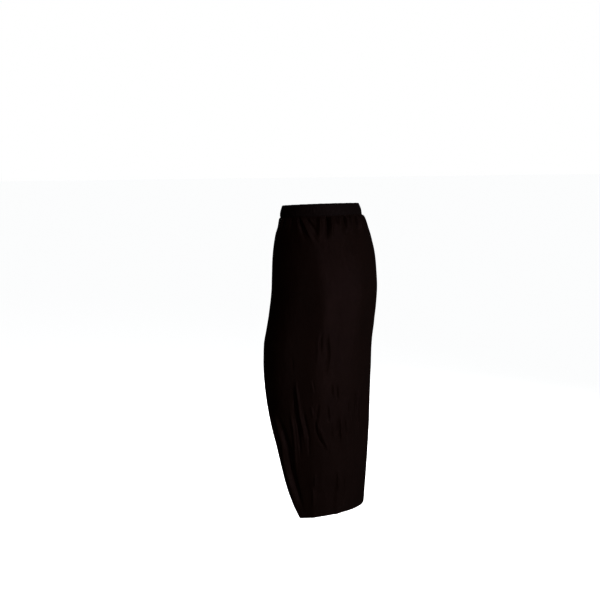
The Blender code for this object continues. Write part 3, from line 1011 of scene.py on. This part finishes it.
def jersey_material(look):
    """Fine single jersey: columns of small V-shaped loops, with a faint unevenness in its dye and
    painted shade in the dips between the loops.
    """
    material = bpy.data.materials.new(look.name)
    material.use_nodes = True
    tree = material.node_tree
    shader = tree.nodes["Principled BSDF"]
    shader.inputs["Specular IOR Level"].default_value = JERSEY_SPECULAR
    shader.inputs["Specular Tint"].default_value = (*look.gloss_tint, 1.0)
    # The fuzz of the fibres spreads the gloss where the cloth turns away
    facing = tree.nodes.new("ShaderNodeLayerWeight")
    facing.inputs["Blend"].default_value = 0.5
    away = math_node(tree, "POWER", facing.outputs["Facing"], FUZZ_POWER)
    fuzzy = math_node(tree, "MULTIPLY", away, FUZZ_ROUGHNESS)
    link(tree, math_node(tree, "ADD", fuzzy, look.roughness), shader.inputs["Roughness"])
    # The knit: each column of loops has two slanted legs, and dips between its neighbours
    uv = tree.nodes.new("ShaderNodeUVMap")
    uv.uv_map = "cloth"
    split = tree.nodes.new("ShaderNodeSeparateXYZ")
    link(tree, uv.outputs["UV"], split.inputs[0])
    u = math_node(tree, "DIVIDE", split.outputs["X"], look.wale)
    v = math_node(tree, "DIVIDE", split.outputs["Y"], look.course)
    leg = math_node(tree, "SUBTRACT", math_node(tree, "FRACT", u), 0.5)
    leg = math_node(tree, "ABSOLUTE", leg)
    slanted = math_node(tree, "ADD", v, math_node(tree, "MULTIPLY", leg, LOOP_SLANT))
    loops = math_node(tree, "SINE", math_node(tree, "MULTIPLY", slanted, math.pi))
    loops = math_node(tree, "POWER", math_node(tree, "ABSOLUTE", loops), LOOP_ROUNDING)
    ribs = math_node(tree, "SINE", math_node(tree, "MULTIPLY", leg, 2 * math.pi))
    ribs = math_node(tree, "POWER", math_node(tree, "ABSOLUTE", ribs), RIB_ROUNDING)
    knit = math_node(tree, "MULTIPLY", ribs, loops)
    place = tree.nodes.new("ShaderNodeTexCoord")
    fuzz = noise_node(tree, place, *FUZZ_NOISE)
    clouds = noise_node(tree, place, *DYE_NOISE)
    bump = tree.nodes.new("ShaderNodeBump")
    bump.inputs["Strength"].default_value = BUMP_STRENGTH
    bump.inputs["Distance"].default_value = BUMP_DISTANCE
    relief = math_node(tree, "ADD", knit, math_node(tree, "MULTIPLY", fuzz, FUZZ_SHARE))
    link(tree, relief, bump.inputs["Height"])
    link(tree, bump.outputs["Normal"], shader.inputs["Normal"])
    # The colour: the dye's uneven tone, and painted shade where the knit dips between its loops
    knit_shade = math_node(tree, "MULTIPLY", knit, KNIT_SHADE_SHARE)
    from_dye = math_node(tree, "MULTIPLY", clouds, 1 - KNIT_SHADE_SHARE)
    ramp = tree.nodes.new("ShaderNodeValToRGB")
    dark, light = ramp.color_ramp.elements
    dark.position, light.position = DYE_AND_SHADE_RANGE
    dark.color, light.color = (*look.dark, 1.0), (*look.light, 1.0)
    link(tree, math_node(tree, "ADD", knit_shade, from_dye), ramp.inputs["Fac"])
    link(tree, ramp.outputs["Color"], shader.inputs["Base Color"])
    return material


def thread_material():
    """Black polyester thread, with its twist in faint bands."""
    material = bpy.data.materials.new("black_thread")
    material.use_nodes = True
    tree = material.node_tree
    shader = tree.nodes["Principled BSDF"]
    shader.inputs["Roughness"].default_value = THREAD_ROUGHNESS
    shader.inputs["Specular IOR Level"].default_value = THREAD_SPECULAR
    place = tree.nodes.new("ShaderNodeTexCoord")
    twist = tree.nodes.new("ShaderNodeTexWave")
    twist.inputs["Scale"].default_value = TWIST_SCALE
    twist.inputs["Distortion"].default_value = TWIST_DISTORTION
    link(tree, place.outputs["Object"], twist.inputs["Vector"])
    ramp = tree.nodes.new("ShaderNodeValToRGB")
    dark, light = ramp.color_ramp.elements
    dark.color, light.color = THREAD_DARK, THREAD_LIGHT
    link(tree, twist.outputs["Fac"], ramp.inputs["Fac"])
    link(tree, ramp.outputs["Color"], shader.inputs["Base Color"])
    return material


def make_camera():
    camera = bpy.data.objects.new("camera", bpy.data.cameras.new("camera"))
    camera.data.lens = CAMERA_LENS
    camera.data.sensor_width = SENSOR_WIDTH
    azimuth = math.radians(CAMERA_AZIMUTH)
    camera.location = (
        CAMERA_DISTANCE * math.sin(azimuth),
        -CAMERA_DISTANCE * math.cos(azimuth),
        CAMERA_HEIGHT,
    )
    yaw = azimuth + math.radians(CAMERA_YAW)
    camera.rotation_euler = (math.radians(90.0 - CAMERA_PITCH), 0.0, yaw)
    bpy.context.scene.collection.objects.link(camera)
    bpy.context.scene.camera = camera


def make_light(light):
    """A softbox that faces the skirt's middle."""
    lamp = bpy.data.lights.new(light.name, "AREA")
    lamp.shape = "RECTANGLE"
    lamp.size, lamp.size_y = light.size
    lamp.energy = light.power
    lamp.spread = math.radians(light.spread)
    lamp.color = light.color
    box = bpy.data.objects.new(light.name, lamp)
    turn = math.radians(CAMERA_AZIMUTH + light.round)
    box.location = (light.distance * math.sin(turn), -light.distance * math.cos(turn), light.height)
    aim = Vector(LIGHTS_AIM_AT) - box.location
    box.rotation_euler = aim.to_track_quat("-Z", "Y").to_euler()
    bpy.context.scene.collection.objects.link(box)


def make_surround():
    """A surround that the camera sees as white, and whose light comes mostly from one side."""
    world = bpy.data.worlds.new("surround")
    world.use_nodes = True
    tree = world.node_tree
    white = tree.nodes["Background"]
    white.inputs["Color"].default_value = (1.0, 1.0, 1.0, 1.0)
    white.inputs["Strength"].default_value = 1.0
    soft = tree.nodes.new("ShaderNodeBackground")
    soft.inputs["Color"].default_value = SOFT_COLOR
    place = tree.nodes.new("ShaderNodeTexCoord")
    side = tree.nodes.new("ShaderNodeVectorMath")
    side.operation = "DOT_PRODUCT"
    link(tree, place.outputs["Generated"], side.inputs[0])
    turn = math.radians(CAMERA_AZIMUTH + SOFT_SIDE)
    bright = Vector((math.sin(turn), -math.cos(turn), SOFT_UP)).normalized()
    side.inputs[1].default_value = bright
    share = math_node(tree, "MULTIPLY", math_node(tree, "ADD", side.outputs["Value"], 1.0), 0.5)
    share = math_node(tree, "POWER", share, SOFT_POWER)
    glow = math_node(tree, "MULTIPLY", share, SOFT_MOST - SOFT_LEAST)
    link(tree, math_node(tree, "ADD", glow, SOFT_LEAST), soft.inputs["Strength"])
    seen = tree.nodes.new("ShaderNodeLightPath")
    mix = tree.nodes.new("ShaderNodeMixShader")
    link(tree, seen.outputs["Is Camera Ray"], mix.inputs[0])
    link(tree, soft.outputs[0], mix.inputs[1])
    link(tree, white.outputs[0], mix.inputs[2])
    link(tree, mix.outputs[0], tree.nodes["World Output"].inputs["Surface"])
    bpy.context.scene.world = world


def make_floor():
    """A pale matt floor well below the hem, which throws no light on the cloth."""
    data = bpy.data.meshes.new("floor")
    reach = FLOOR_REACH
    corners = [(-reach, -reach, 0), (reach, -reach, 0), (reach, reach, 0), (-reach, reach, 0)]
    data.from_pydata(corners, [], [(0, 1, 2, 3)])
    floor = bpy.data.objects.new("floor", data)
    floor.location = (0.0, 0.0, FLOOR_Z)
    material = bpy.data.materials.new("pale_floor")
    material.use_nodes = True
    shader = material.node_tree.nodes["Principled BSDF"]
    shader.inputs["Base Color"].default_value = (0.97, 0.97, 0.97, 1.0)
    shader.inputs["Roughness"].default_value = 1.0
    shader.inputs["Specular IOR Level"].default_value = 0.0
    shader.inputs["Emission Color"].default_value = (1.0, 1.0, 1.0, 1.0)
    shader.inputs["Emission Strength"].default_value = FLOOR_GLOW
    data.materials.append(material)
    bpy.context.scene.collection.objects.link(floor)
    floor.visible_diffuse = False
    floor.visible_glossy = False


def make_stage():
    """A pale floor, a pale surround and soft studio light."""
    make_floor()
    make_surround()
    for light in LIGHTS:
        make_light(light)
    bpy.context.scene.view_settings.view_transform = "Standard"
    bpy.context.scene.view_settings.gamma = VIEW_GAMMA


def main():
    make_camera()
    make_stage()
    skirt = jersey_material(SKIRT_LOOK)
    band = jersey_material(BAND_LOOK)
    thread = thread_material()
    back_cloth, back_grid = make_panel("back_panel_cloth", True, BACK_GRID, skirt)
    front_cloth, front_grid = make_panel("front_panel_cloth", False, FRONT_GRID, skirt)
    band_cloth, band_outer, band_inner = make_band(band)
    panels = (back_grid, front_grid)
    sewing = [
        sew_turnings("hem_stitches", hem_line, panels, thread),
        sew_turnings("slit_stitches", slit_line, panels, thread),
        sew_band(band_outer, band_inner, thread),
        *make_allowances(back_grid, skirt, thread),
    ]
    for piece, node, slot in (
        (back_cloth, "back_panel", "skirt_jersey"),
        (front_cloth, "front_panel", "skirt_jersey"),
        (band_cloth, "waistband", "waistband_jersey"),
    ):
        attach(piece, "root")
        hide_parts(node)
    for piece in sewing:
        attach(piece, "root")


main()
